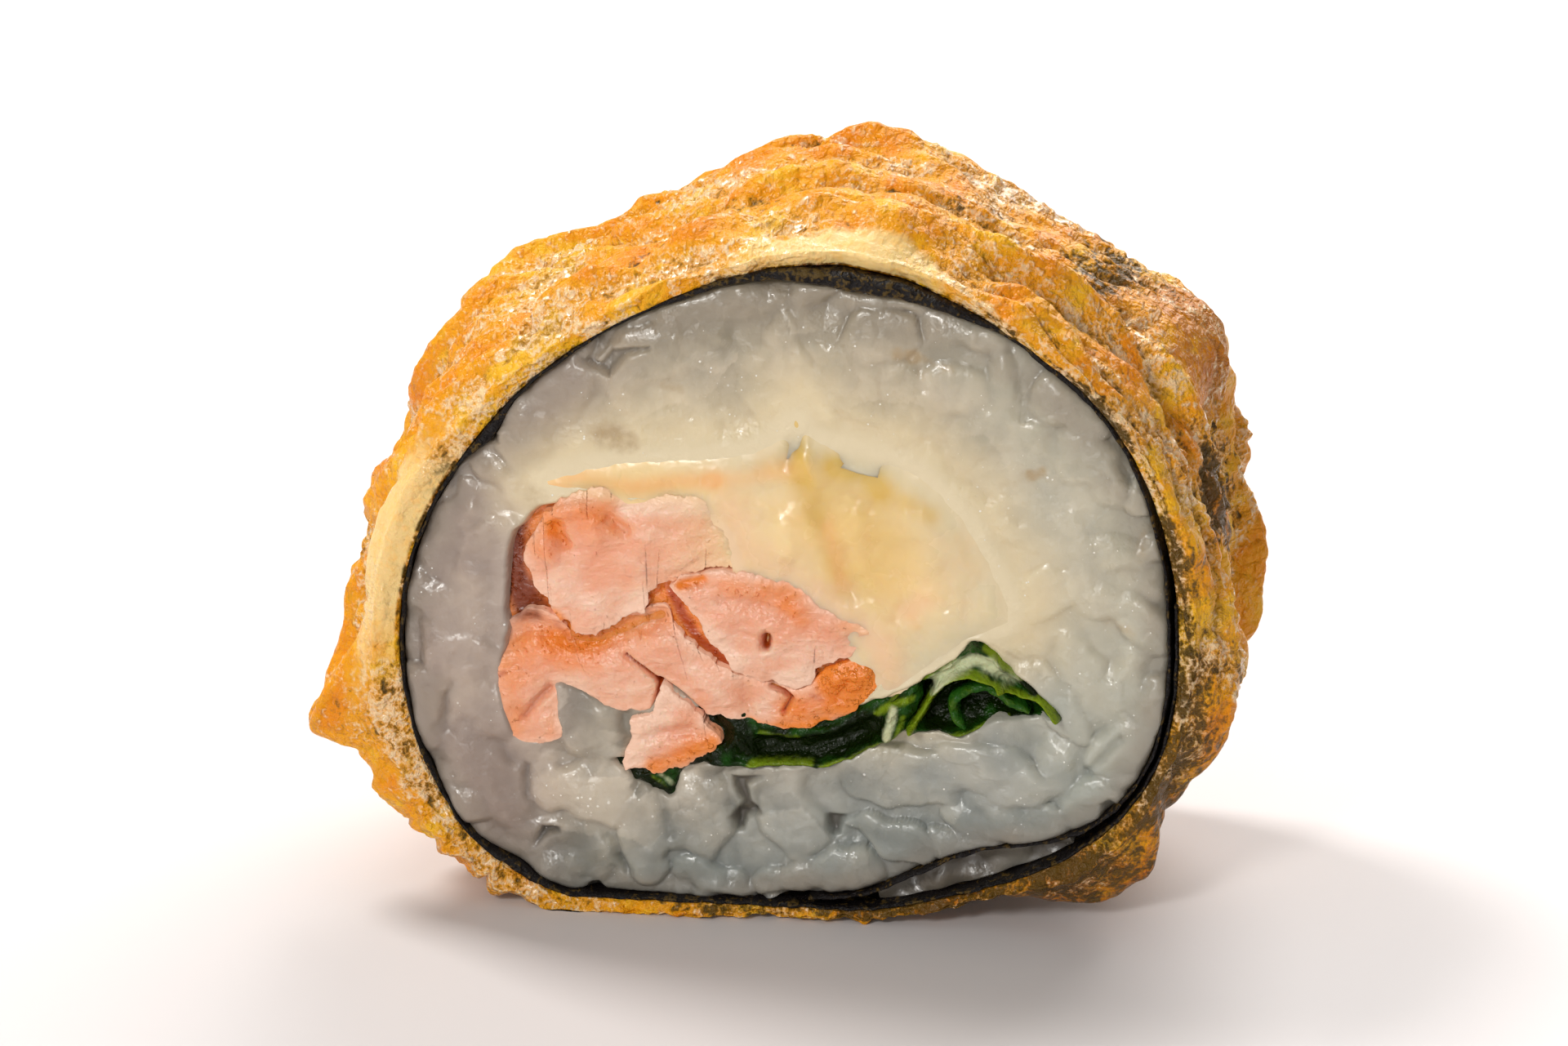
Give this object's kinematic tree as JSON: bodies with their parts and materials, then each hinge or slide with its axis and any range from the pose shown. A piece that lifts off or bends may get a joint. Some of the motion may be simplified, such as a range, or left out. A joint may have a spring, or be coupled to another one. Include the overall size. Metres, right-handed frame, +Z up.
{
  "type": "fried sushi roll slice",
  "caption": "Slice of a batter-fried sushi roll standing on its flat underside, the cut showing seaweed, rice, salmon, cream cheese and leaf.",
  "frame": {"origin": "on the table, below the middle of the slice's bounding box", "axes": "+X to the right as the front cut is looked at, +Y along the roll from the front cut to the back cut, +Z up"},
  "size_m": [0.0612, 0.0278, 0.0476],
  "materials": {
    "batter_crust": "fried batter, golden brown, oily sheen, rough",
    "nori_sheet": "dry seaweed, near black, satin",
    "rice": "cooked short-grain rice, translucent, wet sheen",
    "rice_in_overlap": "cooked short-grain rice, translucent, wet sheen",
    "salmon_right": "cooked salmon, pale pink, moist",
    "salmon_upper": "cooked salmon, pale pink, moist",
    "salmon_lower": "cooked salmon, pale pink, moist",
    "salmon_flake": "cooked salmon, pale pink, moist",
    "cream_cheese": "melted cream cheese, pale yellow, glossy",
    "leaf_strip": "wilted green leaf, dark, wet",
    "leaf_fold": "wilted green leaf, dark, wet",
    "leaf_curl": "wilted green leaf, dark, wet"
  },
  "bodies": {
    "root": {"batter_crust": "batter_crust", "nori_sheet": "nori_sheet", "rice": "rice", "rice_in_overlap": "rice_in_overlap", "salmon_right": "salmon_right", "salmon_upper": "salmon_upper", "salmon_lower": "salmon_lower", "salmon_flake": "salmon_flake", "cream_cheese": "cream_cheese", "leaf_strip": "leaf_strip", "leaf_fold": "leaf_fold", "leaf_curl": "leaf_curl"}
  },
  "joints": []
}
